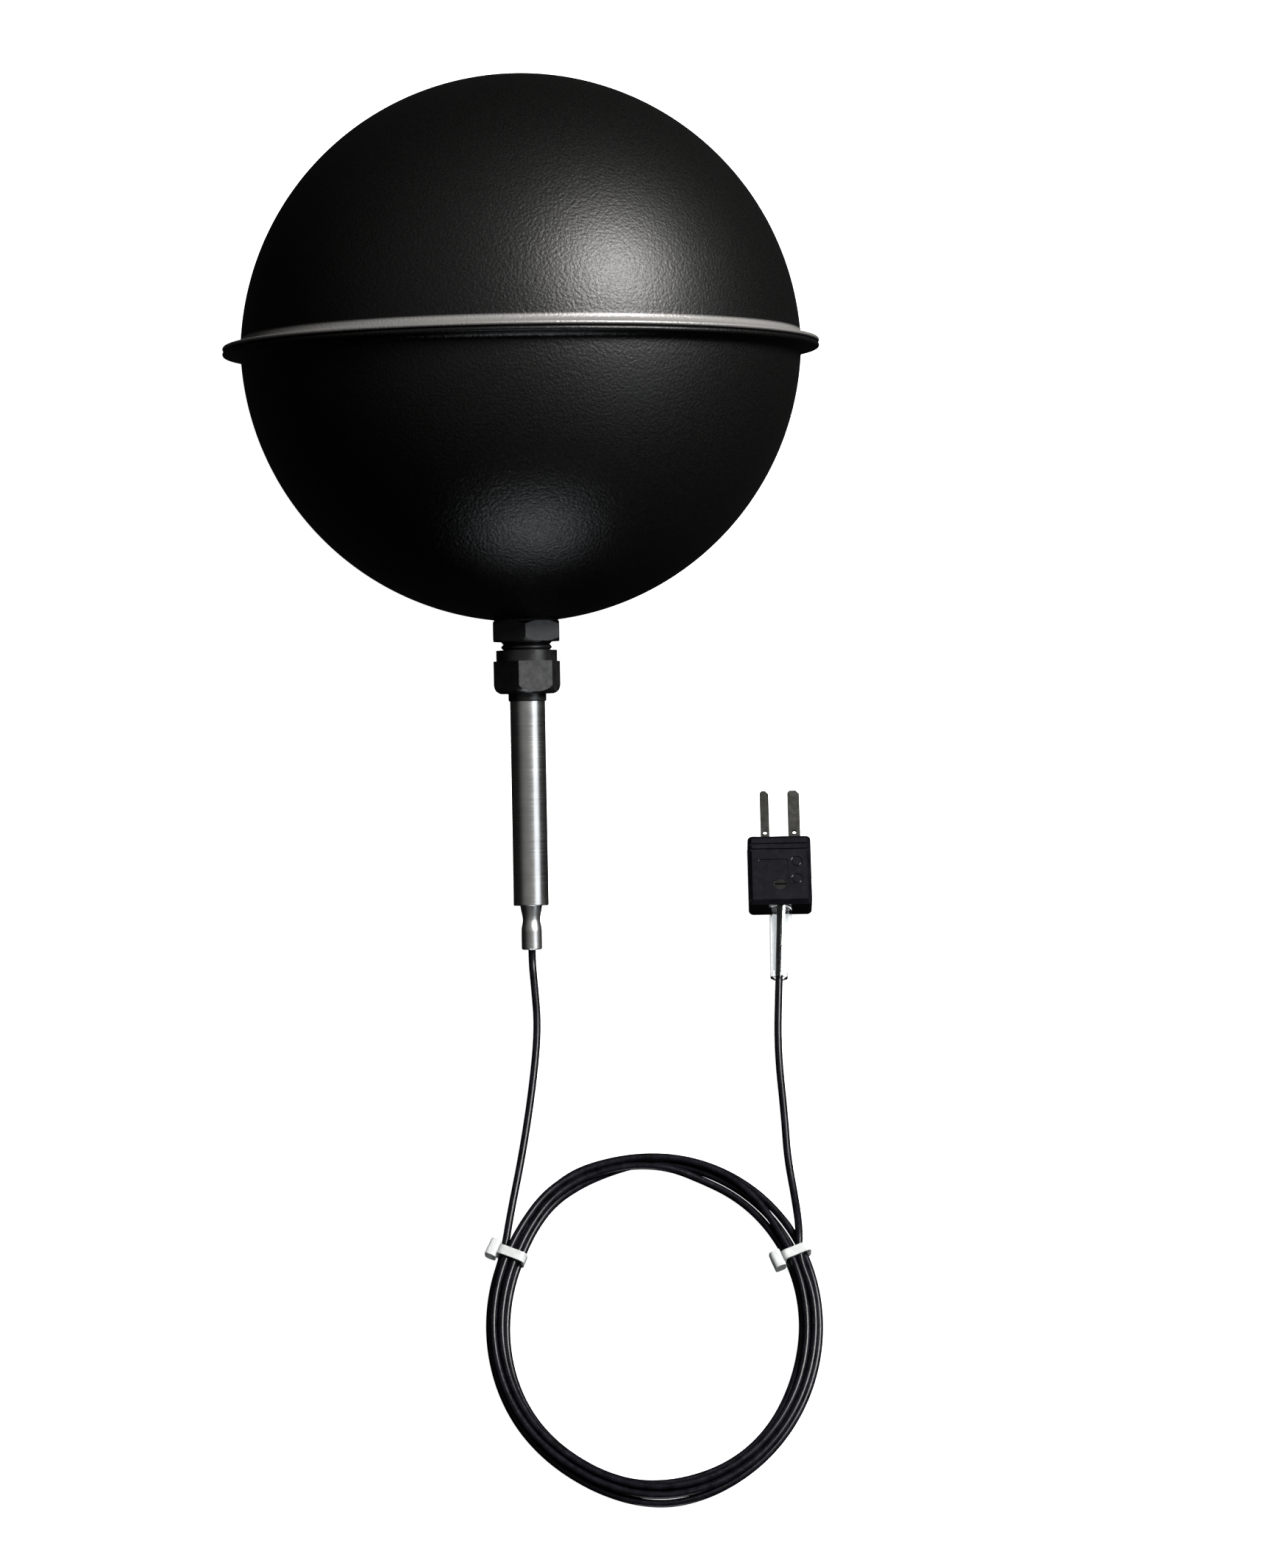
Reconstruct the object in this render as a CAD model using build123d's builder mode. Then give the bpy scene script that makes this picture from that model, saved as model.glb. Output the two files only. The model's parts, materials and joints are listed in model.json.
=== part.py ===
from build123d import *
import os
from math import cos, pi, radians, sin, sqrt, tan

os.makedirs("parts", exist_ok=True)

# Globe probe lying on a table: millimetres, +Z up, origin on the table under the middle of the
# probe. It rests on its globe and its crimp ferrule, so its axis leans up towards the globe.

# Driving dimensions
LEAN = 26.4  # axis above the table, degrees
SHELL_R = 75.0
SHELL_WALL = 0.8
DOME_SHIFT = 1.8  # each dome's centre lies this far past the rim's mid-plane
RIM_R = 79.8
RIM_HALF = 1.35
RIM_BEND = 2.4
RIM_EDGE = 0.6
SEAT = 72.6  # flat seat under the globe, below the globe's centre

STEM_R = 4.7
STEM_WALL = 0.6
STEM_HEAD = -25.0
STEM_END = -149.2
FERRULE_END = -161.0
RUNNING = 0.05  # radial running clearance

CABLE_R = 1.0
COIL_CENTRE = (30.9, -216.0)
COIL_A = 40.9  # half width of the coil at the middle of its bundle
COIL_B = 46.0  # half length of the coil at the middle of its bundle
BUNDLE_HALF = 3.2
BUNDLE_TOP = 4.6
TIE_BAND = 0.7
TIE_WIDTH = 2.5
HEAD_T = 3.0
HEAD_H = 3.9
HEAD_L = 4.6
LEFT_TIE_ANGLE = 154.5
RIGHT_TIE_ANGLE = 24.5

PLUG_X = 66.8
PLUG_BACK = -98.2
PLUG_FRONT = -77.9
PLUG_WIDTH = 17.0
PLUG_HALF = 4.0  # height of the base and of the cover
PLUG_WALL = 1.7
BLADE_TIP = -63.0
BLADE_T = 0.8
SLEEVE_TIP = (65.9, -117.8, 2.45)

# The probe's axis points from the stem to the globe
AXIS_UP = Vector(0, cos(radians(LEAN)), sin(radians(LEAN)))
TOWARDS_EYE = Vector(0, -sin(radians(LEAN)), cos(radians(LEAN)))
GLOBE_Z = SHELL_R - DOME_SHIFT * AXIS_UP.Z
FERRULE_R = 2.75
Y_AHEAD = SHELL_R - DOME_SHIFT * AXIS_UP.Y
Y_BEHIND = -FERRULE_END * AXIS_UP.Y + FERRULE_R * AXIS_UP.Z
GLOBE_CENTRE = Vector(0, (Y_BEHIND - Y_AHEAD) / 2, GLOBE_Z)
PROBE_AXIS = Axis(GLOBE_CENTRE, AXIS_UP)
AXIAL = Plane(origin=GLOBE_CENTRE, x_dir=(1, 0, 0), z_dir=TOWARDS_EYE)


def on_axis(height):
    """Point of the probe's axis at a height above the globe's centre."""
    return GLOBE_CENTRE + AXIS_UP * height


def across(height):
    """Plane square to the probe's axis, facing the globe's top."""
    return Plane(origin=on_axis(height), x_dir=(1, 0, 0), z_dir=AXIS_UP)


def save(builder, name):
    builder.part.label = name
    export_step(builder.part, f"parts/{name}.step")


def corner_radii(points):
    """Largest tangent arcs that the runs beside each corner leave room for."""
    spots = [Vector(*p) for p in points]
    radii = []
    for before, corner, after in zip(spots, spots[1:], spots[2:]):
        turn = (corner - before).get_angle(after - corner)
        shorter = min((corner - before).length, (after - corner).length)
        radii.append(0.45 * shorter / tan(radians(turn / 2)))
    return radii


# ---- globe ----------------------------------------------------------------------------------

def hemmed_shell(side):
    """Half globe with its hemmed rim; side is 1 for the upper and -1 for the lower."""
    inner_r = SHELL_R - SHELL_WALL
    centre = -side * DOME_SHIFT
    foot = sqrt(SHELL_R**2 - (RIM_HALF + DOME_SHIFT) ** 2)
    inner_foot = sqrt(inner_r**2 - DOME_SHIFT**2)
    middle = SHELL_R * cos(pi / 4)
    inner_middle = inner_r * cos(pi / 4)
    with BuildPart() as shell:
        with BuildSketch(AXIAL):
            with BuildLine():
                dome = ThreePointArc(
                    (0, centre + side * SHELL_R), (middle, centre + side * middle), (foot, side * RIM_HALF))
                rim = Polyline(dome @ 1, (RIM_R, side * RIM_HALF), (RIM_R, 0), (inner_foot, 0))
                lining = ThreePointArc(
                    rim @ 1, (inner_middle, centre + side * inner_middle), (0, centre + side * inner_r))
                Line(lining @ 1, dome @ 0)
            make_face()
        revolve(axis=PROBE_AXIS)
        rings = shell.edges().filter_by(GeomType.CIRCLE)
        fillet(rings.filter_by(lambda e: abs(e.radius - foot) < 0.01 and e.is_closed), RIM_BEND)
        rim_edges = shell.edges().filter_by(GeomType.CIRCLE).filter_by(lambda e: abs(e.radius - RIM_R) < 0.01)
        fillet(rim_edges.filter_by(lambda e: e.is_closed), RIM_EDGE)
    return shell


upper_shell = hemmed_shell(1)
save(upper_shell, "upper_shell")

lower_blank = hemmed_shell(-1)
SEAT_R = sqrt(SHELL_R**2 - (SEAT + DOME_SHIFT) ** 2)
with BuildPart() as lower_shell:
    add(lower_blank.part)
    # The pole is pressed flat to seat the gland
    with BuildSketch(across(-SEAT)):
        Circle(SEAT_R)
    extrude(amount=SHELL_WALL)
    with BuildSketch(across(-SEAT)):
        Circle(2 * SEAT_R)
    extrude(amount=-5, mode=Mode.SUBTRACT)
    with BuildSketch(across(-SEAT - 1)):
        Circle(7.0)
    extrude(amount=5, mode=Mode.SUBTRACT)
save(lower_shell, "lower_shell")

# ---- gland ----------------------------------------------------------------------------------
GLAND_TOP = -68.0
HEX_TOP = -73.1
HEX_BOTTOM = -78.5
NECK_END = -84.2
THREAD_R = 6.9
NECK_R = 6.75
GLAND_AF = 17.6
LOCK_AF = 16.2
POCKET_R = 5.9
POCKET_TOP = -80.0

with BuildPart() as gland_washer:
    with BuildSketch(across(HEX_TOP)):
        Circle(8.6)
        Circle(THREAD_R + RUNNING, mode=Mode.SUBTRACT)
    extrude(amount=-SEAT - HEX_TOP)
save(gland_washer, "gland_washer")

THREAD_PITCH = 1.5
THREAD_DEPTH = 0.55
INNER_THREAD = (-71.0, -69.5)
NECK_THREAD = (-79.3, -80.8, -82.3, -83.8)

with BuildPart() as gland_body:
    with BuildSketch(across(HEX_BOTTOM)):
        RegularPolygon(GLAND_AF / 2, 6, major_radius=False, rotation=30)
    extrude(amount=HEX_TOP - HEX_BOTTOM)
    # Turned corners: a cone at each end of the hexagon
    with BuildSketch(AXIAL):
        with BuildLine():
            Polyline(
                (0, HEX_TOP), (9.0, HEX_TOP), (10.2, HEX_TOP - 0.9), (10.2, HEX_BOTTOM + 0.9),
                (9.0, HEX_BOTTOM), (0, HEX_BOTTOM), close=True)
        make_face()
    revolve(axis=PROBE_AXIS, mode=Mode.INTERSECT)
    with BuildSketch(across(HEX_TOP)):
        Circle(THREAD_R)
    extrude(amount=GLAND_TOP - HEX_TOP)
    with BuildSketch(across(HEX_BOTTOM)):
        Circle(NECK_R)
    extrude(amount=NECK_END - HEX_BOTTOM)
    # Threads as turned grooves
    for radius, heights in ((THREAD_R, INNER_THREAD), (NECK_R, NECK_THREAD)):
        for height in heights:
            with BuildSketch(AXIAL):
                with BuildLine():
                    Polyline(
                        (radius + 0.1, height + THREAD_PITCH / 2 - 0.1), (radius - THREAD_DEPTH, height),
                        (radius + 0.1, height - THREAD_PITCH / 2 + 0.1), close=True)
                make_face()
            revolve(axis=PROBE_AXIS, mode=Mode.SUBTRACT)
    with BuildSketch(across(GLAND_TOP)):
        Circle(STEM_R + RUNNING)
    extrude(amount=NECK_END - GLAND_TOP, mode=Mode.SUBTRACT)
    with BuildSketch(across(POCKET_TOP)):
        Circle(POCKET_R)
    extrude(amount=NECK_END - POCKET_TOP, mode=Mode.SUBTRACT)
save(gland_body, "gland_body")

with BuildPart() as lock_nut:
    with BuildSketch(across(-SEAT + SHELL_WALL)):
        RegularPolygon(LOCK_AF / 2, 6, major_radius=False)
        Circle(THREAD_R + RUNNING, mode=Mode.SUBTRACT)
    extrude(amount=3.2)
    fillet(lock_nut.edges().filter_by(PROBE_AXIS), 0.5)
save(lock_nut, "lock_nut")

with BuildPart() as seal_ring:
    with BuildSketch(across(POCKET_TOP - 0.3)):
        Circle(POCKET_R - RUNNING)
        Circle(STEM_R + RUNNING, mode=Mode.SUBTRACT)
    extrude(amount=-4.0)
save(seal_ring, "seal_ring")

CLAMP_TOP = -84.6
CLAMP_R = 5.1
with BuildPart() as clamp_sleeve:
    with BuildSketch(AXIAL):
        with BuildLine():
            Polyline(
                (STEM_R + RUNNING, CLAMP_TOP), (6.4, CLAMP_TOP), (6.4, -87.6), (CLAMP_R, -88.8),
                (CLAMP_R, -94.2), (CLAMP_R - 0.15, -94.5), (STEM_R + RUNNING, -94.5), close=True)
        make_face()
    revolve(axis=PROBE_AXIS)
save(clamp_sleeve, "clamp_sleeve")

NUT_TOP = -80.9
NUT_HEX_TOP = -83.8
NUT_HEX_BOTTOM = -89.8
NUT_END = -92.5
NUT_AF = 16.1
NUT_TURNED = 17.6  # degrees, its corners don't line up with the gland's
with BuildPart() as compression_nut:
    with BuildSketch(across(NUT_END)):
        RegularPolygon(NUT_AF / 2, 6, major_radius=False, rotation=NUT_TURNED)
    extrude(amount=NUT_HEX_TOP - NUT_END)
    # The hexagon's lower corners are turned off to a rounded end
    with BuildSketch(AXIAL):
        with BuildLine():
            Polyline((0, NUT_HEX_TOP), (9.4, NUT_HEX_TOP), (9.4, NUT_HEX_BOTTOM))
            ThreePointArc((9.4, NUT_HEX_BOTTOM), (8.6, -91.5), (7.2, NUT_END))
            Polyline((7.2, NUT_END), (0, NUT_END), (0, NUT_HEX_TOP))
        make_face()
    revolve(axis=PROBE_AXIS, mode=Mode.INTERSECT)
    with BuildSketch(across(NUT_HEX_TOP)):
        Circle(8.15)
    extrude(amount=NUT_TOP - NUT_HEX_TOP)
    with BuildSketch(AXIAL):
        with BuildLine():
            Polyline(
                (0, NUT_TOP), (NECK_R + 0.07, NUT_TOP), (NECK_R + 0.07, -87.9), (5.4, -89.1),
                (5.4, NUT_END), (0, NUT_END), close=True)
        make_face()
    revolve(axis=PROBE_AXIS, mode=Mode.SUBTRACT)
save(compression_nut, "compression_nut")

# ---- stem and sensor ------------------------------------------------------------------------
SHEATH_R = 2.25
BUSH_DEPTH = 9.0

with BuildPart() as stem_tube:
    with BuildSketch(across(STEM_END)):
        Circle(STEM_R)
        Circle(STEM_R - STEM_WALL, mode=Mode.SUBTRACT)
    extrude(amount=STEM_HEAD - STEM_END)
    fillet(stem_tube.edges().filter_by(GeomType.CIRCLE).group_by(SortBy.RADIUS)[-1], 0.25)
save(stem_tube, "stem_tube")

with BuildPart() as stem_head_bush:
    with BuildSketch(across(STEM_HEAD)):
        Circle(STEM_R - STEM_WALL)
        Circle(SHEATH_R, mode=Mode.SUBTRACT)
    extrude(amount=-BUSH_DEPTH)
save(stem_head_bush, "stem_head_bush")

SHEATH_LENGTH = -STEM_HEAD + BUSH_DEPTH
with BuildPart() as sensor_sheath:
    with BuildSketch(across(-SHEATH_LENGTH)):
        Circle(SHEATH_R)
    extrude(amount=SHEATH_LENGTH + SHEATH_R)
    fillet(sensor_sheath.faces().sort_by(PROBE_AXIS)[-1].edges(), SHEATH_R - 0.3)
    with BuildSketch(across(-SHEATH_LENGTH)):
        Circle(SHEATH_R - 0.45)
    extrude(amount=SHEATH_LENGTH + 1.4, mode=Mode.SUBTRACT)
save(sensor_sheath, "sensor_sheath")

WIRE_R = 0.3
WIRE_OFF = 0.75
JUNCTION_R = 1.1
with BuildPart() as twin_bore_insulator:
    with BuildSketch(across(-SHEATH_LENGTH)):
        Circle(1.7)
        with Locations((-WIRE_OFF, 0), (WIRE_OFF, 0)):
            Circle(WIRE_R + RUNNING, mode=Mode.SUBTRACT)
    extrude(amount=SHEATH_LENGTH - 2.0)
save(twin_bore_insulator, "twin_bore_insulator")

with BuildPart() as thermocouple_wires:
    with BuildSketch(across(-143.0)):
        with Locations((-WIRE_OFF, 0), (WIRE_OFF, 0)):
            Circle(WIRE_R)
    extrude(amount=143.0 - 1.3)
save(thermocouple_wires, "thermocouple_wires")

with BuildPart() as sensing_junction:
    with BuildSketch(across(-1.3)):
        Circle(JUNCTION_R)
    extrude(amount=2 * JUNCTION_R)
    fillet(sensing_junction.edges(), 0.5)
save(sensing_junction, "sensing_junction")

with BuildPart() as stem_end_bush:
    with BuildSketch(across(STEM_END)):
        Circle(STEM_R - STEM_WALL)
        Circle(2.3, mode=Mode.SUBTRACT)
    extrude(amount=5.0)
save(stem_end_bush, "stem_end_bush")

# The ferrule is crimped on the lead: a bell, a waist and a plain collar
with BuildPart() as crimp_ferrule:
    with BuildSketch(AXIAL):
        with BuildLine():
            Line((CABLE_R, FERRULE_END), (2.45, FERRULE_END))
            Line((2.45, FERRULE_END), (FERRULE_R, FERRULE_END + 0.3))
            Line((FERRULE_R, FERRULE_END + 0.3), (FERRULE_R, -156.0))
            Spline((FERRULE_R, -156.0), (2.35, -153.4), (2.95, STEM_END), tangents=((0, 1), (0.1, 1)))
            Polyline(
                (2.95, STEM_END), (2.3, STEM_END), (2.3, -144.0), (CABLE_R, -144.0),
                (CABLE_R, FERRULE_END))
        make_face()
    revolve(axis=PROBE_AXIS)
save(crimp_ferrule, "crimp_ferrule")

# ---- lead -----------------------------------------------------------------------------------

def coil_point(angle, out, height):
    """Point of the coil's bundle; out is outwards from the middle of the bundle."""
    turn = radians(angle)
    return (COIL_CENTRE[0] + (COIL_A + out) * cos(turn), COIL_CENTRE[1] + (COIL_B + out) * sin(turn), height)


EXIT = on_axis(FERRULE_END)
EXIT_DROP = EXIT.Z - CABLE_R
LANDING = EXIT - AXIS_UP * (EXIT_DROP / AXIS_UP.Z)
LEAD_ROUTE = [
    (EXIT.X, EXIT.Y, EXIT.Z),
    (LANDING.X, LANDING.Y, CABLE_R),
    (0.5, -117.6, CABLE_R),
    (1.4, -130.5, CABLE_R),
    (-0.2, -147.5, CABLE_R),
    (-3.0, -166.5, CABLE_R),
    (-6.3, -183.5, CABLE_R),
    (-8.1, -195.0, CABLE_R + TIE_BAND),
]

SLEEVE_ROOT = (PLUG_X, PLUG_BACK, PLUG_HALF)
TAIL_ROUTE = [
    (68.8, -198.4, 3.5),
    (69.2, -190.0, 3.6),
    (68.3, -180.0, CABLE_R),
    (66.7, -169.0, CABLE_R),
    (66.3, -157.3, CABLE_R),
    (64.9, -137.3, CABLE_R),
    SLEEVE_TIP,
]


def tube_on(route, name):
    """Round tube along straight runs joined by tangent arcs; prints its radii and its volume."""
    radii = corner_radii(route)
    with BuildPart() as tube:
        with BuildLine():
            path = FilletPolyline(*route, radius=radii)
        with BuildSketch(Plane(origin=path @ 0, z_dir=path % 0)):
            Circle(CABLE_R)
        sweep(path=path)
    expected = pi * CABLE_R**2 * path.length
    print(name, "radii", [round(r, 1) for r in radii], "length", round(path.length, 1),
          "volume / section x length", round(tube.part.volume / expected, 4))
    save(tube, name)


tube_on(LEAD_ROUTE, "cable_lead")
tube_on(TAIL_ROUTE, "cable_tail")

with BuildPart() as cable_coil:
    with BuildSketch(Plane(origin=(*COIL_CENTRE, TIE_BAND))):
        Ellipse(COIL_A + BUNDLE_HALF, COIL_B + BUNDLE_HALF)
        Ellipse(COIL_A - BUNDLE_HALF, COIL_B - BUNDLE_HALF, mode=Mode.SUBTRACT)
    extrude(amount=BUNDLE_TOP - TIE_BAND)
    chamfer(cable_coil.edges(), 0.8)
save(cable_coil, "cable_coil")


def tie(angle, head_side, name):
    """Cable tie round the bundle; head_side is 1 outside the coil and -1 inside it."""
    turn = radians(angle)
    out = Vector(cos(turn) / COIL_A, sin(turn) / COIL_B, 0).normalized()
    along = Vector(out.Y, -out.X, 0)
    spot = coil_point(angle, 0, 0)
    section = Plane(origin=spot, x_dir=out, z_dir=along)
    tie_height = BUNDLE_TOP + TIE_BAND
    with BuildPart() as strap:
        with BuildSketch(section):
            with Locations((0, tie_height / 2)):
                RectangleRounded(2 * (BUNDLE_HALF + TIE_BAND), tie_height, 1.5)
                Rectangle(2 * BUNDLE_HALF + 0.02, BUNDLE_TOP - TIE_BAND + 0.02, mode=Mode.SUBTRACT)
        extrude(amount=TIE_WIDTH / 2, both=True)
        with BuildSketch(section):
            with Locations((head_side * (BUNDLE_HALF + TIE_BAND + HEAD_T / 2 - 0.2), HEAD_H / 2 + 0.9)):
                RectangleRounded(HEAD_T, HEAD_H, 1.0)
        extrude(amount=HEAD_L / 2, both=True)
    save(strap, name)


tie(LEFT_TIE_ANGLE, 1, "left_tie")
tie(RIGHT_TIE_ANGLE, -1, "right_tie")

# ---- strain sleeve and plug -----------------------------------------------------------------
SLEEVE_VECTOR = Vector(*SLEEVE_TIP) - Vector(*SLEEVE_ROOT)
SLEEVE_AXIS = Axis(SLEEVE_ROOT, SLEEVE_VECTOR)
SLEEVE_LENGTH = SLEEVE_VECTOR.length
SLEEVE_PLANE = Plane(origin=SLEEVE_ROOT, z_dir=SLEEVE_VECTOR)
SLEEVE_BORE = CABLE_R + 0.35
SLEEVE_ROOT_R = 3.0
SLEEVE_TIP_R = 2.35
SLEEVE_WALL = 0.5

with BuildPart() as strain_sleeve:
    with BuildSketch(SLEEVE_PLANE):
        Circle(SLEEVE_ROOT_R)
    with BuildSketch(SLEEVE_PLANE.offset(SLEEVE_LENGTH)):
        Circle(SLEEVE_TIP_R)
    loft()
    # Hollow, with a thin wall that closes in on the lead at the tip
    with BuildSketch(SLEEVE_PLANE):
        Circle(SLEEVE_ROOT_R - SLEEVE_WALL)
    with BuildSketch(SLEEVE_PLANE.offset(SLEEVE_LENGTH - 1.5)):
        Circle(SLEEVE_TIP_R - SLEEVE_WALL)
    loft(mode=Mode.SUBTRACT)
    with BuildSketch(SLEEVE_PLANE):
        Circle(SLEEVE_BORE)
    extrude(amount=SLEEVE_LENGTH, mode=Mode.SUBTRACT)
    # Its root is cut square to the plug's back face
    with BuildSketch(Plane(origin=SLEEVE_ROOT, z_dir=(0, 1, 0))):
        Rectangle(12, 12)
    extrude(amount=3, mode=Mode.SUBTRACT)
save(strain_sleeve, "strain_sleeve")

CONDUCTOR_START = PLUG_BACK + PLUG_WALL
with BuildPart() as cable_in_sleeve:
    with BuildSketch(Plane(origin=SLEEVE_TIP, z_dir=SLEEVE_VECTOR * -1)):
        Circle(CABLE_R)
    extrude(amount=SLEEVE_LENGTH + PLUG_WALL * 0.9)
save(cable_in_sleeve, "cable_in_sleeve")

PLUG_MID = (PLUG_BACK + PLUG_FRONT) / 2
PLUG_LENGTH = PLUG_FRONT - PLUG_BACK
CAVITY_WIDTH = PLUG_WIDTH - 2 * PLUG_WALL
CAVITY_LENGTH = PLUG_LENGTH - 2 * PLUG_WALL
BLADE_X = {"negative_blade": -3.6, "positive_blade": 4.3}
BLADE_W = {"negative_blade": 2.4, "positive_blade": 3.2}
BLADE_ROOT = -90.5
TERMINAL_Y = -87.6
SCREW_R = 0.95
COVER_SCREW_Y = -92.6
COVER_SCREW_R = 0.9
BOSS_TOP = PLUG_HALF - BLADE_T / 2
MATING = Plane(origin=(PLUG_X, PLUG_MID, PLUG_HALF))


def plug_half(direction, bevel):
    """Shell of one half of the plug, with slots for the blades and a bore for the lead."""
    with BuildPart() as half:
        with BuildSketch(MATING):
            RectangleRounded(PLUG_WIDTH, PLUG_LENGTH, 1.3)
        extrude(amount=direction * PLUG_HALF)
        outer_face = half.faces().sort_by(Axis.Z)[-1 if direction > 0 else 0]
        chamfer(outer_face.edges(), bevel)
        with BuildSketch(MATING):
            Rectangle(CAVITY_WIDTH, CAVITY_LENGTH)
        extrude(amount=direction * (PLUG_HALF - 1.2), mode=Mode.SUBTRACT)
        with BuildSketch(MATING):
            for name in BLADE_X:
                with Locations((BLADE_X[name], PLUG_LENGTH / 2 - PLUG_WALL / 2)):
                    Rectangle(BLADE_W[name] + 0.1, 2 * PLUG_WALL)
        extrude(amount=direction * (BLADE_T / 2 + RUNNING), mode=Mode.SUBTRACT)
        with BuildSketch(Plane(origin=SLEEVE_TIP, z_dir=SLEEVE_VECTOR * -1)):
            Circle(CABLE_R + RUNNING)
        extrude(amount=SLEEVE_LENGTH + PLUG_WALL + 0.3, mode=Mode.SUBTRACT)
    return half


base_blank = plug_half(-1, 0.5)
with BuildPart() as plug_base:
    add(base_blank.part)
    with BuildSketch(MATING.offset(-PLUG_HALF + 1.0)):
        for name in BLADE_X:
            with Locations((BLADE_X[name], TERMINAL_Y - PLUG_MID)):
                Circle(2.0)
    extrude(amount=BOSS_TOP - RUNNING - 1.0)
    with BuildSketch(MATING.offset(-PLUG_HALF + 1.0)):
        with Locations((0, COVER_SCREW_Y - PLUG_MID)):
            Circle(1.7)
    extrude(amount=PLUG_HALF - 1.0)
    with BuildSketch(MATING.offset(-PLUG_HALF + 1.0)):
        for name in BLADE_X:
            with Locations((BLADE_X[name], TERMINAL_Y - PLUG_MID)):
                Circle(SCREW_R + RUNNING)
        with Locations((0, COVER_SCREW_Y - PLUG_MID)):
            Circle(COVER_SCREW_R + RUNNING)
    extrude(amount=PLUG_HALF, mode=Mode.SUBTRACT)
save(plug_base, "plug_base")

GROOVE_Y = (-80.7, -82.3)
MARK_Y = (-86.0, -91.2)
cover_blank = plug_half(1, 1.1)
with BuildPart() as plug_cover:
    add(cover_blank.part)
    with BuildSketch(MATING):
        with Locations((0, COVER_SCREW_Y - PLUG_MID)):
            Circle(1.9)
    extrude(amount=PLUG_HALF - 0.8)
    with BuildSketch(MATING):
        with Locations((0, COVER_SCREW_Y - PLUG_MID)):
            Circle(COVER_SCREW_R + RUNNING)
    extrude(amount=PLUG_HALF, mode=Mode.SUBTRACT)
    with BuildSketch(MATING.offset(PLUG_HALF)):
        with Locations((0, COVER_SCREW_Y - PLUG_MID)):
            Circle(1.65)
    extrude(amount=-1.3, mode=Mode.SUBTRACT)
    # Shallow label field, two ring marks and two grip grooves across the front
    with BuildSketch(MATING.offset(PLUG_HALF)):
        with Locations((-1.7, -0.9)):
            RectangleRounded(8.0, 7.6, 0.6)
    extrude(amount=-0.25, mode=Mode.SUBTRACT)
    with BuildSketch(MATING.offset(PLUG_HALF)):
        for y in MARK_Y:
            with Locations((4.6, y - PLUG_MID)):
                Circle(1.6)
                Circle(1.1, mode=Mode.SUBTRACT)
    extrude(amount=-0.25, mode=Mode.SUBTRACT)
    with BuildSketch(MATING.offset(PLUG_HALF)):
        for y in GROOVE_Y:
            with Locations((0, y - PLUG_MID)):
                Rectangle(PLUG_WIDTH + 1, 0.7)
    extrude(amount=-0.4, mode=Mode.SUBTRACT)
save(plug_cover, "plug_cover")


def blade(name):
    """Flat contact with a slanted tip, a notch hole near its root and a terminal hole."""
    x = BLADE_X[name]
    half = BLADE_W[name] / 2
    tip = BLADE_TIP - PLUG_MID
    root = BLADE_ROOT - PLUG_MID
    with BuildPart() as contact:
        with BuildSketch(MATING.offset(-BLADE_T / 2)):
            with BuildLine():
                Polyline(
                    (x - half, root), (x + half, root), (x + half, tip - 1.0),
                    (x + half - 0.9, tip), (x - half + 0.5, tip), (x - half, tip - 0.6), close=True)
            make_face()
            with Locations((x, TERMINAL_Y - PLUG_MID)):
                Circle(SCREW_R + RUNNING, mode=Mode.SUBTRACT)
            with Locations((x, PLUG_FRONT - PLUG_MID + 2.4)):
                Circle(0.55, mode=Mode.SUBTRACT)
        extrude(amount=BLADE_T)
    save(contact, name)


for blade_name in BLADE_X:
    blade(blade_name)

HEAD_BOTTOM = BLADE_T / 2 + 0.75
with BuildPart() as terminal_screws:
    for name in BLADE_X:
        with BuildSketch(MATING.offset(-PLUG_HALF + 1.2)):
            with Locations((BLADE_X[name], TERMINAL_Y - PLUG_MID)):
                Circle(SCREW_R)
        extrude(amount=PLUG_HALF - 1.2 + HEAD_BOTTOM)
        with BuildSketch(MATING.offset(HEAD_BOTTOM)):
            with Locations((BLADE_X[name], TERMINAL_Y - PLUG_MID)):
                Circle(1.75)
        extrude(amount=1.2)
        with BuildSketch(MATING.offset(HEAD_BOTTOM + 1.2)):
            with Locations((BLADE_X[name], TERMINAL_Y - PLUG_MID)):
                Rectangle(4, 0.5)
        extrude(amount=-0.5, mode=Mode.SUBTRACT)
save(terminal_screws, "terminal_screws")

with BuildPart() as cover_screw:
    with BuildSketch(MATING.offset(-PLUG_HALF + 1.2)):
        with Locations((0, COVER_SCREW_Y - PLUG_MID)):
            Circle(COVER_SCREW_R)
    extrude(amount=2 * PLUG_HALF - 1.2 - 1.3)
    with BuildSketch(MATING.offset(PLUG_HALF - 1.3)):
        with Locations((0, COVER_SCREW_Y - PLUG_MID)):
            Circle(1.55)
    extrude(amount=1.1)
    with BuildSketch(MATING.offset(PLUG_HALF - 0.2)):
        with Locations((0, COVER_SCREW_Y - PLUG_MID)):
            Rectangle(4, 0.5)
    extrude(amount=-0.5, mode=Mode.SUBTRACT)
save(cover_screw, "cover_screw")

# Each conductor passes its side of the cover screw and ends beside its terminal screw
CONDUCTOR_R = 0.3
with BuildPart() as plug_conductors:
    for side, name in ((-1, "negative_blade"), (1, "positive_blade")):
        height = BLADE_T / 2 + CONDUCTOR_R + 0.05
        route = [
            (PLUG_X + side * 0.6, CONDUCTOR_START + 0.1, PLUG_HALF + height),
            (PLUG_X + side * 3.0, CONDUCTOR_START + 1.3, PLUG_HALF + height),
            (PLUG_X + BLADE_X[name] - side * 1.3, TERMINAL_Y, PLUG_HALF + height),
        ]
        with BuildLine():
            conductor = FilletPolyline(*route, radius=0.8)
        with BuildSketch(Plane(origin=conductor @ 0, z_dir=conductor % 0)):
            Circle(CONDUCTOR_R)
        sweep(path=conductor)
save(plug_conductors, "plug_conductors")
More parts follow.
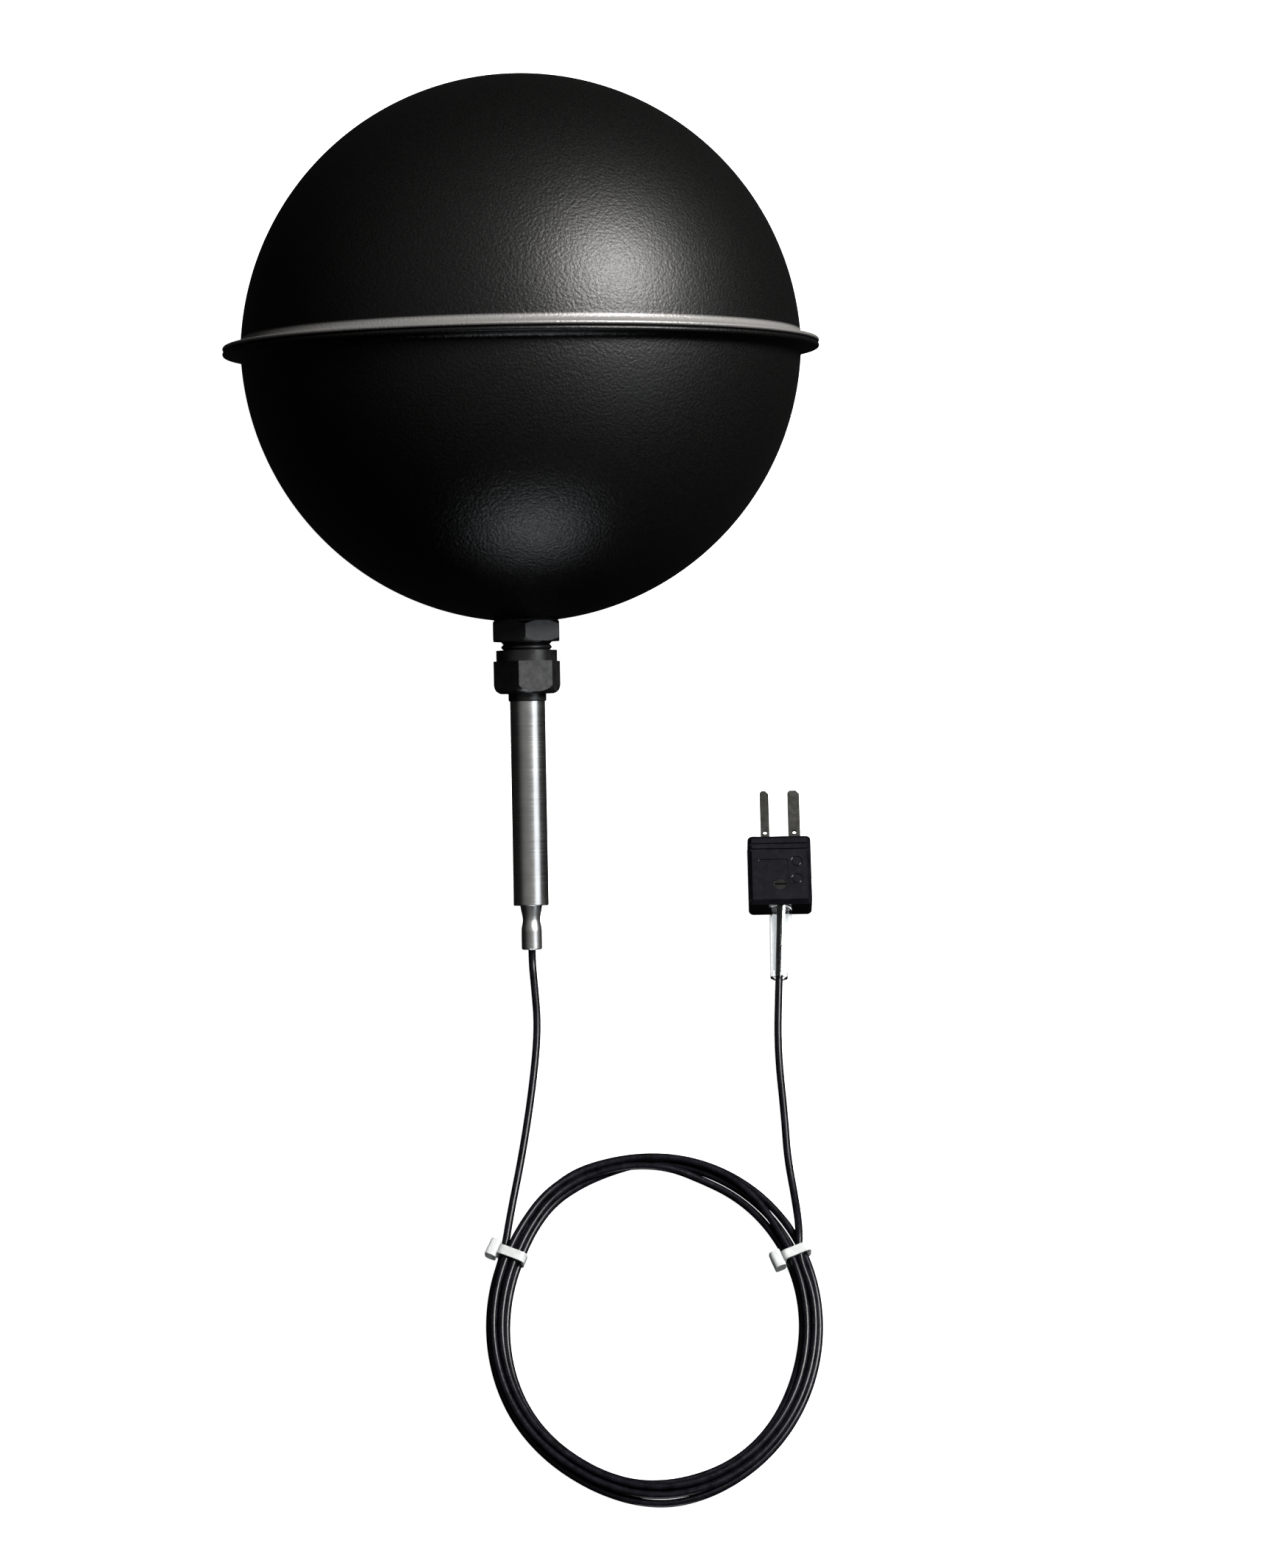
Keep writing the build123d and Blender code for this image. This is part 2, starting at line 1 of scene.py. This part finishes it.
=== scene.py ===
"""Globe probe lying on a white table, with its coiled lead and flat-pin plug."""
import json
from math import atan, cos, exp, pi, radians, sin, sqrt

import bpy
from mathutils import Matrix, Vector


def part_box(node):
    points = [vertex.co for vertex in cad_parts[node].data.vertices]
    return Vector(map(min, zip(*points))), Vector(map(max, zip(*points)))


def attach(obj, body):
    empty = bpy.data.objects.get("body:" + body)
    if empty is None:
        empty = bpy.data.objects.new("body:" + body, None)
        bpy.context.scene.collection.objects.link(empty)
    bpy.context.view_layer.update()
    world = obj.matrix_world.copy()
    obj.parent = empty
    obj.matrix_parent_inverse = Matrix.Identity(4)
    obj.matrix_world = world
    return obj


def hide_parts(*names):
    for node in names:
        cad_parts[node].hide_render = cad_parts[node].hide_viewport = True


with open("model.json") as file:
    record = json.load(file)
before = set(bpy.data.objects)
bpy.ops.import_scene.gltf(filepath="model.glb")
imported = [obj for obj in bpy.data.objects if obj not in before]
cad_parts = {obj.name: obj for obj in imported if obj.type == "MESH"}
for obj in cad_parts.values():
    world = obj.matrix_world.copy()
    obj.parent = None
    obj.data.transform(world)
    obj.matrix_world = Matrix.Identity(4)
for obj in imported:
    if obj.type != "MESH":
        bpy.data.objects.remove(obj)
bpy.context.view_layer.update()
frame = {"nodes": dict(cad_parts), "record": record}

MM = 0.001
LEAN = radians(26.4)
AXIS_UP = Vector((0, cos(LEAN), sin(LEAN)))
TOWARDS_EYE = Vector((0, -sin(LEAN), cos(LEAN)))
SIDE = Vector((1, 0, 0))

# The globe's centre, from the far side of the upper shell's box and from the table under it
SHELL_R = 75 * MM
DOME_SHIFT = 1.8 * MM
FAR_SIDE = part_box("upper_shell")[1][1]
GLOBE = Vector((
    0,
    FAR_SIDE - SHELL_R + DOME_SHIFT * AXIS_UP.y,
    SHELL_R - DOME_SHIFT * AXIS_UP.z))


# ---- materials ------------------------------------------------------------------------------

def material(name, color, roughness, metallic=0.0, specular=0.5, coat=0.0,
             transmission=0.0, ior=1.45, subsurface=0.0):
    """New Principled material with its constants set on the shader."""
    mat = bpy.data.materials.new(name)
    mat.use_nodes = True
    shader = mat.node_tree.nodes["Principled BSDF"]
    shader.inputs["Base Color"].default_value = (*color, 1)
    shader.inputs["Roughness"].default_value = roughness
    shader.inputs["Metallic"].default_value = metallic
    shader.inputs["Specular IOR Level"].default_value = specular
    shader.inputs["Coat Weight"].default_value = coat
    shader.inputs["Coat Roughness"].default_value = 0.1
    shader.inputs["Transmission Weight"].default_value = transmission
    shader.inputs["IOR"].default_value = ior
    shader.inputs["Subsurface Weight"].default_value = subsurface
    shader.inputs["Subsurface Radius"].default_value = (1, 1, 1)
    shader.inputs["Subsurface Scale"].default_value = 0.002
    return mat


def noise(mat, scale, stretch=(1, 1, 1), detail=4.0):
    """Noise over the object, in metres, turned so that its Y runs along the probe's axis."""
    nodes, links = mat.node_tree.nodes, mat.node_tree.links
    coordinates = nodes.new("ShaderNodeTexCoord")
    turned = nodes.new("ShaderNodeMapping")
    turned.inputs["Rotation"].default_value = (-LEAN, 0, 0)
    stretched = nodes.new("ShaderNodeMapping")
    stretched.inputs["Scale"].default_value = stretch
    texture = nodes.new("ShaderNodeTexNoise")
    texture.inputs["Scale"].default_value = scale
    texture.inputs["Detail"].default_value = detail
    links.new(coordinates.outputs["Object"], turned.inputs["Vector"])
    links.new(turned.outputs["Vector"], stretched.inputs["Vector"])
    links.new(stretched.outputs["Vector"], texture.inputs["Vector"])
    return texture.outputs["Fac"]


def vary_color(mat, source, dark, light, low=0.3, high=0.7):
    ramp = mat.node_tree.nodes.new("ShaderNodeValToRGB")
    ramp.color_ramp.elements[0].position = low
    ramp.color_ramp.elements[0].color = (*dark, 1)
    ramp.color_ramp.elements[1].position = high
    ramp.color_ramp.elements[1].color = (*light, 1)
    shader = mat.node_tree.nodes["Principled BSDF"]
    mat.node_tree.links.new(source, ramp.inputs["Fac"])
    mat.node_tree.links.new(ramp.outputs["Color"], shader.inputs["Base Color"])


def vary_roughness(mat, source, low, high):
    spread = mat.node_tree.nodes.new("ShaderNodeMapRange")
    spread.inputs["From Min"].default_value = 0.3
    spread.inputs["From Max"].default_value = 0.7
    spread.inputs["To Min"].default_value = low
    spread.inputs["To Max"].default_value = high
    shader = mat.node_tree.nodes["Principled BSDF"]
    mat.node_tree.links.new(source, spread.inputs["Value"])
    mat.node_tree.links.new(spread.outputs["Result"], shader.inputs["Roughness"])


def roughen(mat, source, strength, distance):
    """Bump from a texture; a second call adds its bump to the first one's."""
    nodes, links = mat.node_tree.nodes, mat.node_tree.links
    bump = nodes.new("ShaderNodeBump")
    bump.inputs["Strength"].default_value = strength
    bump.inputs["Distance"].default_value = distance
    normal = nodes["Principled BSDF"].inputs["Normal"]
    if normal.is_linked:
        links.new(normal.links[0].from_socket, bump.inputs["Normal"])
    links.new(source, bump.inputs["Height"])
    links.new(bump.outputs["Normal"], normal)


def paint_rim_highlight(mat):
    """Painted highlight: on the rim's upper side, up to the bend, the paint is made metallic, glossier and
    light grey, to stand in for a bright line of light.
    """
    middle = 1.9 * MM  # the painted highlight strip's height over the globe's centre
    full = 0.7 * MM  # painted fully bright this far to each side of its middle
    faded = 1.8 * MM
    nodes, links = mat.node_tree.nodes, mat.node_tree.links
    shader = nodes["Principled BSDF"]
    place = nodes.new("ShaderNodeTexCoord")
    height = nodes.new("ShaderNodeVectorMath")
    height.operation = "DOT_PRODUCT"
    height.inputs[1].default_value = AXIS_UP
    level = nodes.new("ShaderNodeMath")
    level.operation = "SUBTRACT"
    level.inputs[1].default_value = GLOBE.dot(AXIS_UP) + middle
    size = nodes.new("ShaderNodeMath")
    size.operation = "ABSOLUTE"
    links.new(place.outputs["Object"], height.inputs[0])
    links.new(height.outputs["Value"], level.inputs[0])
    links.new(level.outputs["Value"], size.inputs[0])
    for name, most, least in (("Metallic", 0.5, 0.0), ("Specular IOR Level", 0.8, 0.32)):
        fade = nodes.new("ShaderNodeMapRange")
        fade.interpolation_type = "SMOOTHSTEP"
        fade.inputs["From Min"].default_value = full
        fade.inputs["From Max"].default_value = faded
        fade.inputs["To Min"].default_value = most
        fade.inputs["To Max"].default_value = least
        links.new(size.outputs["Value"], fade.inputs["Value"])
        links.new(fade.outputs["Result"], shader.inputs[name])
    # Painted highlight: the base colour is mixed towards light grey as far as the strip is metallic
    rim_highlight_grey = nodes.new("ShaderNodeMix")
    rim_highlight_grey.data_type = "RGBA"
    rim_highlight_grey.inputs["B"].default_value = (0.42, 0.41, 0.4, 1)
    links.new(shader.inputs["Metallic"].links[0].from_socket, rim_highlight_grey.inputs["Factor"])
    links.new(shader.inputs["Base Color"].links[0].from_socket, rim_highlight_grey.inputs["A"])
    links.new(rim_highlight_grey.outputs["Result"], shader.inputs["Base Color"])


def globe_paint():
    """Matt black absorber paint with a fine sandy grain."""
    mat = material("globe_paint", (0.001, 0.001, 0.001), 0.41, specular=0.32)
    vary_color(mat, noise(mat, 2600), (0.0005, 0.0005, 0.0005), (0.003, 0.003, 0.003), 0.4, 0.75)
    vary_roughness(mat, noise(mat, 2200), 0.33, 0.48)
    roughen(mat, noise(mat, 1300, detail=3.0), 0.75, 0.00018)
    # Painted highlight along the rim's upper side
    paint_rim_highlight(mat)
    return mat


def moulded(name, dark, light, roughness, specular=0.5, coat=0.0, grain=2400, bump=0.15):
    mat = material(name, dark, roughness, specular=specular, coat=coat)
    vary_color(mat, noise(mat, 300), dark, light)
    vary_roughness(mat, noise(mat, 700), roughness - 0.05, roughness + 0.07)
    roughen(mat, noise(mat, grain), bump, 0.00004)
    return mat


def turned_metal(name, dark, light, roughness, along=1400.0, around=60.0, bump=0.04):
    """Metal with fine marks round the probe's axis."""
    mat = material(name, dark, roughness, metallic=1.0)
    marks = noise(mat, 1.0, (around, along * 2, around))
    vary_color(mat, noise(mat, 180), dark, light)
    vary_roughness(mat, marks, roughness - 0.03, roughness + 0.04)
    roughen(mat, marks, bump, 0.00001)
    return mat


def clear_plastic():
    mat = material("clear_sleeve", (0.7, 0.72, 0.73), 0.05, specular=0.25, transmission=1.0, ior=1.4)
    vary_roughness(mat, noise(mat, 400), 0.03, 0.08)
    roughen(mat, noise(mat, 260), 0.03, 0.0001)
    return mat


def natural_nylon():
    mat = material(
        "nylon", (0.5, 0.52, 0.52), 0.36, specular=0.4, subsurface=0.25, transmission=0.35, ior=1.5)
    vary_color(mat, noise(mat, 500), (0.42, 0.44, 0.44), (0.58, 0.6, 0.6))
    roughen(mat, noise(mat, 1800), 0.2, 0.00005)
    return mat


def lead_jacket():
    """Black jacket with a cool sheen and faint waves left by the extruder."""
    mat = material("lead_jacket", (0.003, 0.003, 0.004), 0.26, specular=0.16)
    vary_color(mat, noise(mat, 400), (0.001, 0.001, 0.0014), (0.005, 0.005, 0.008))
    vary_roughness(mat, noise(mat, 900), 0.2, 0.34)
    roughen(mat, noise(mat, 1400), 0.2, 0.00006)
    return mat


PAINT = globe_paint()
FINISHES = {
    "globe_paint": PAINT,
    "gland_plastic": moulded("gland_plastic", (0.004, 0.004, 0.004), (0.009, 0.009, 0.01), 0.3, bump=0.25),
    "seal_rubber": moulded("seal_rubber", (0.018, 0.018, 0.018), (0.03, 0.03, 0.03), 0.72, 0.35, bump=0.5),
    "stainless": turned_metal("stainless", (0.5, 0.5, 0.49), (0.62, 0.62, 0.61), 0.24),
    "stainless_satin": turned_metal("stainless_satin", (0.44, 0.44, 0.44), (0.58, 0.58, 0.57), 0.32),
    "blackened_steel": turned_metal("blackened_steel", (0.015, 0.015, 0.015), (0.03, 0.03, 0.03), 0.35),
    "brass": turned_metal("brass", (0.62, 0.45, 0.2), (0.78, 0.6, 0.3), 0.26),
    "insulator": moulded("insulator", (0.74, 0.72, 0.66), (0.86, 0.84, 0.78), 0.6, bump=0.4),
    "thermo_alloy": turned_metal("thermo_alloy", (0.5, 0.47, 0.44), (0.66, 0.63, 0.59), 0.35),
    "lead_jacket": lead_jacket(),
    "nylon": natural_nylon(),
    "clear_sleeve": clear_plastic(),
    "plug_body": moulded(
        "plug_body", (0.002, 0.002, 0.003), (0.004, 0.004, 0.006), 0.15, 0.35, coat=0.25, bump=0.04),
    "blade_alloy": turned_metal(
        "blade_alloy", (0.05, 0.05, 0.045), (0.075, 0.075, 0.07), 0.3, along=300, around=900),
}

slots = {entry["node"]: entry["material_slot"] for entry in frame["record"]["subparts"]}
for node, piece in frame["nodes"].items():
    piece.data.materials.clear()
    piece.data.materials.append(FINISHES[slots[node]])


# ---- turned pieces --------------------------------------------------------------------------

def turned(name, outline, closed, steps=256):
    """Surface of revolution about the probe's axis; outline holds (radius, height) in metres."""
    verts = []
    for radius, height in outline:
        for step in range(steps):
            turn = 2 * pi * step / steps
            outwards = SIDE * (radius * cos(turn)) + TOWARDS_EYE * (radius * sin(turn))
            verts.append(GLOBE + AXIS_UP * height + outwards)
    faces = []
    rows = len(outline)
    for row in range(rows if closed else rows - 1):
        after = (row + 1) % rows
        for step in range(steps):
            beside = (step + 1) % steps
            faces.append((
                row * steps + step, row * steps + beside,
                after * steps + beside, after * steps + step))
    mesh = bpy.data.meshes.new(name)
    mesh.from_pydata(verts, [], faces)
    mesh.polygons.foreach_set("use_smooth", [True] * len(mesh.polygons))
    piece = bpy.data.objects.new(name, mesh)
    bpy.context.scene.collection.objects.link(piece)
    return piece


def arc(centre, radius, start, end, count):
    """Points of an arc in (radius, height), by angles in degrees."""
    spots = []
    for index in range(count + 1):
        angle = radians(start + (end - start) * index / count)
        spots.append((centre[0] + radius * cos(angle), centre[1] + radius * sin(angle)))
    return spots


def hemmed_shell(name, side, pole_r):
    """Shell with its rolled rim. The rim's sheet is folded back, so its edge is round."""
    wall = 0.8 * MM
    rim_r = 79.8 * MM
    half = 1.35 * MM
    bend = 2.4 * MM
    seam = 0.04 * MM
    flange_in = 74.3 * MM
    centre = -side * DOME_SHIFT
    # The bend is tangent to the dome and to the rim's flat
    bend_height = half + bend
    bend_r = sqrt((SHELL_R + bend) ** 2 - (bend_height + DOME_SHIFT) ** 2)
    meet = atan((bend_height + DOME_SHIFT) / bend_r) * 180 / pi
    pole = 90 - 180 / pi * atan(pole_r / SHELL_R)
    outline = []
    for r, h in arc((0, 0), SHELL_R, pole, meet, 90):
        outline.append((r, centre + side * h))
    for r, h in arc((bend_r, bend_height), bend, 180 + meet, 270, 10)[1:]:
        outline.append((r, side * h))
    edge = (half - seam) / 2
    for r, h in arc((rim_r - edge, seam + edge), edge, 90, -90, 12):
        outline.append((r, side * h))
    outline.append((flange_in, side * seam))
    inner = SHELL_R - wall
    for r, h in arc((0, 0), inner, 2, pole, 60):
        outline.append((r, centre + side * h))
    if side < 0:
        outline.reverse()
    # At the pole each wall ends by itself in a pinhole; at the gland's hole the walls join
    piece = turned(name, outline, closed=side < 0)
    piece.data.flip_normals()
    piece.data.materials.append(PAINT)
    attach(piece, "globe")
    return piece


upper_globe = hemmed_shell("upper_globe", 1, 0.02 * MM)
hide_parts("upper_shell")
lower_globe = hemmed_shell("lower_globe", -1, 7.0 * MM)
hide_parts("lower_shell")


# ---- lead -----------------------------------------------------------------------------------
CABLE_R = 1.0
COIL_CENTRE = (30.9, -216.0)
COIL_A = 40.9
COIL_B = 46.0
LEFT_TIE_ANGLE = 154.5
RIGHT_TIE_ANGLE = 24.5
TIE_LIFT = 0.7
EXIT = (GLOBE - AXIS_UP * (161 * MM)) / MM
LANDING = EXIT - AXIS_UP * ((EXIT.z - CABLE_R) / AXIS_UP.z)
LEAD_ROUTE = [
    (EXIT.x, EXIT.y, EXIT.z),
    (LANDING.x, LANDING.y, CABLE_R),
    (0.5, -117.6, CABLE_R),
    (1.4, -130.5, CABLE_R),
    (-0.2, -147.5, CABLE_R),
    (-3.0, -166.5, CABLE_R),
    (-6.3, -183.5, CABLE_R),
]
TAIL_ROUTE = [
    (68.8, -198.4, 3.9),
    (69.2, -190.0, 3.8),
    (68.3, -180.0, CABLE_R),
    (66.7, -169.0, CABLE_R),
    (66.3, -157.3, CABLE_R),
    (64.9, -137.3, CABLE_R),
    (65.9, -117.8, 2.45),
    (66.9, -95.4, 4.1),
]
# The places that a strand takes in the bundle: outwards, upwards
PLACES = [(2.15, 0.0), (0.0, 0.0), (-2.15, 0.0), (-1.08, 1.8), (1.08, 1.8)]
FIRST_ANGLE = 152.0
LAST_ANGLE = 360 * 5 + 20.0
STEP = 12.0
# Where each strand moves to the next place, and which one moves first
MOVES = {3: (30, 62), 2: (58, 90), 1: (86, 118), 0: (112, 148)}


def smooth(t):
    t = min(max(t, 0.0), 1.0)
    return t * t * (3 - 2 * t)


def near(angle, centre, width):
    """1 at the centre, falling off to 0 about a width away."""
    apart = (angle - centre + 180) % 360 - 180
    return exp(-(apart / width) ** 2)


def coil_point(angle):
    turned_by = angle - FIRST_ANGLE
    strand = min(int(turned_by // 360), 4)
    place = PLACES[strand]
    out, up = place
    local = angle % 360
    if strand < 4 and local < FIRST_ANGLE:
        start, end = MOVES[strand]
        share = smooth((local - start) / (end - start))
        after = PLACES[strand + 1]
        out += (after[0] - out) * share
        up += (after[1] - up) * share
        if strand == 2:
            out -= 0.5 * sin(pi * share)
    # The whole bundle bows out at its upper left and in at its lower left
    out += 1.7 * near(local, 126, 17) - 0.8 * near(local, 240, 20)
    # Loose turns: small gaps open between the strands
    out += 0.16 * sin(radians(3 * local + 75 * strand))
    out += 0.6 * near(local, 275, 14) * (strand == 0) - 0.5 * near(local, 281, 16) * (strand == 2)
    out += 0.5 * near(local, 98, 14) * (strand == 1) - 0.5 * near(local, 75, 16) * (strand == 2)
    out += 0.6 * near(local, 130, 10) * (strand == 4) - 0.5 * near(local, 340, 18) * (strand == 2)
    lift = TIE_LIFT * max(near(local, LEFT_TIE_ANGLE, 25), near(local, RIGHT_TIE_ANGLE, 25))
    turn = radians(angle)
    return (
        COIL_CENTRE[0] + (COIL_A + out) * cos(turn),
        COIL_CENTRE[1] + (COIL_B + out) * sin(turn),
        CABLE_R + lift + up)


route = list(LEAD_ROUTE)
angle = FIRST_ANGLE + 2
while angle < LAST_ANGLE:
    route.append(coil_point(angle))
    angle += STEP
route += TAIL_ROUTE

curve = bpy.data.curves.new("lead", "CURVE")
curve.dimensions = "3D"
spline = curve.splines.new("NURBS")
spline.points.add(len(route) - 1)
for point, spot in zip(spline.points, route):
    point.co = (*(Vector(spot) * MM), 1)
spline.order_u = 3
spline.use_endpoint_u = True
spline.resolution_u = 6
curve.bevel_depth = CABLE_R * MM
curve.bevel_resolution = 6
curve.use_fill_caps = True
lead = bpy.data.objects.new("lead", curve)
bpy.context.scene.collection.objects.link(lead)
lead.data.materials.append(FINISHES["lead_jacket"])
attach(lead, "probe")
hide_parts("cable_lead", "cable_coil", "cable_tail", "cable_in_sleeve")


# ---- stage ----------------------------------------------------------------------------------

def table_top():
    bpy.ops.mesh.primitive_plane_add(size=12, location=(0, 0, -0.0001))
    top = bpy.context.object
    top.name = "table_top"
    mat = material("table_white", (0.6, 0.6, 0.6), 0.7, specular=0.1)
    shader = mat.node_tree.nodes["Principled BSDF"]
    shader.inputs["Emission Color"].default_value = (1, 1, 1, 1)
    shader.inputs["Emission Strength"].default_value = 0.96
    top.data.materials.append(mat)
    # The table isn't mirrored in the paint and doesn't fill the dark sides with light
    top.visible_glossy = False
    top.visible_diffuse = False


def softbox(name, direction, distance, size, watts, color=(1, 1, 1)):
    """Rectangular area light that faces the globe."""
    data = bpy.data.lights.new(name, "AREA")
    data.shape = "RECTANGLE"
    data.size, data.size_y = size
    data.energy = watts
    data.color = color
    box = bpy.data.objects.new(name, data)
    aim = Vector(direction).normalized()
    box.location = GLOBE + aim * distance
    box.rotation_mode = "QUATERNION"
    box.rotation_quaternion = aim.to_track_quat("Z", "Y")
    bpy.context.scene.collection.objects.link(box)


def to_world(right, up, towards):
    """Direction given as the camera sees it."""
    return SIDE * right + AXIS_UP * up + TOWARDS_EYE * towards


def studio():
    softbox("key", to_world(0.6, 0.45, 0.66), 1.5, (0.6, 0.7), 75, (1, 0.985, 0.96))
    softbox("low_side", to_world(0.75, -0.08, 0.66), 1.6, (1.1, 0.8), 4, (0.86, 0.92, 1))
    softbox("under", to_world(0.06, -0.99, 0.12), 1.2, (0.5, 0.4), 6, (0.9, 0.95, 1))
    world = bpy.data.worlds.new("studio")
    bpy.context.scene.world = world
    world.use_nodes = True
    nodes, links = world.node_tree.nodes, world.node_tree.links
    background = nodes["Background"]
    background.inputs["Color"].default_value = (1, 1, 1, 1)
    # Bright overhead, nearly black at the horizon
    direction = nodes.new("ShaderNodeTexCoord")
    split = nodes.new("ShaderNodeSeparateXYZ")
    fade = nodes.new("ShaderNodeMapRange")
    fade.interpolation_type = "SMOOTHSTEP"
    fade.inputs["From Min"].default_value = 0.25
    fade.inputs["From Max"].default_value = 0.95
    fade.inputs["To Min"].default_value = 0.01
    fade.inputs["To Max"].default_value = 0.24
    links.new(direction.outputs["Generated"], split.inputs["Vector"])
    links.new(split.outputs["Z"], fade.inputs["Value"])
    links.new(fade.outputs["Result"], background.inputs["Strength"])
    bpy.context.scene.view_settings.view_transform = "Standard"


def camera():
    """Camera square to the stem, a long way off, with the globe high in the frame."""
    data = bpy.data.cameras.new("camera")
    data.sensor_fit = "AUTO"
    data.sensor_width = 36
    data.lens = 135.5
    data.clip_end = 20
    eye = bpy.data.objects.new("camera", data)
    bpy.context.scene.collection.objects.link(eye)
    roll = radians(1.05)
    right = SIDE * cos(roll) - AXIS_UP * sin(roll)
    up = SIDE * sin(roll) + AXIS_UP * cos(roll)
    place = GLOBE + SIDE * 0.0293 - AXIS_UP * 0.1172 + TOWARDS_EYE * 1.58
    axes = Matrix((right, up, TOWARDS_EYE)).transposed().to_4x4()
    eye.matrix_world = Matrix.Translation(place) @ axes
    bpy.context.scene.camera = eye


table_top()
studio()
camera()
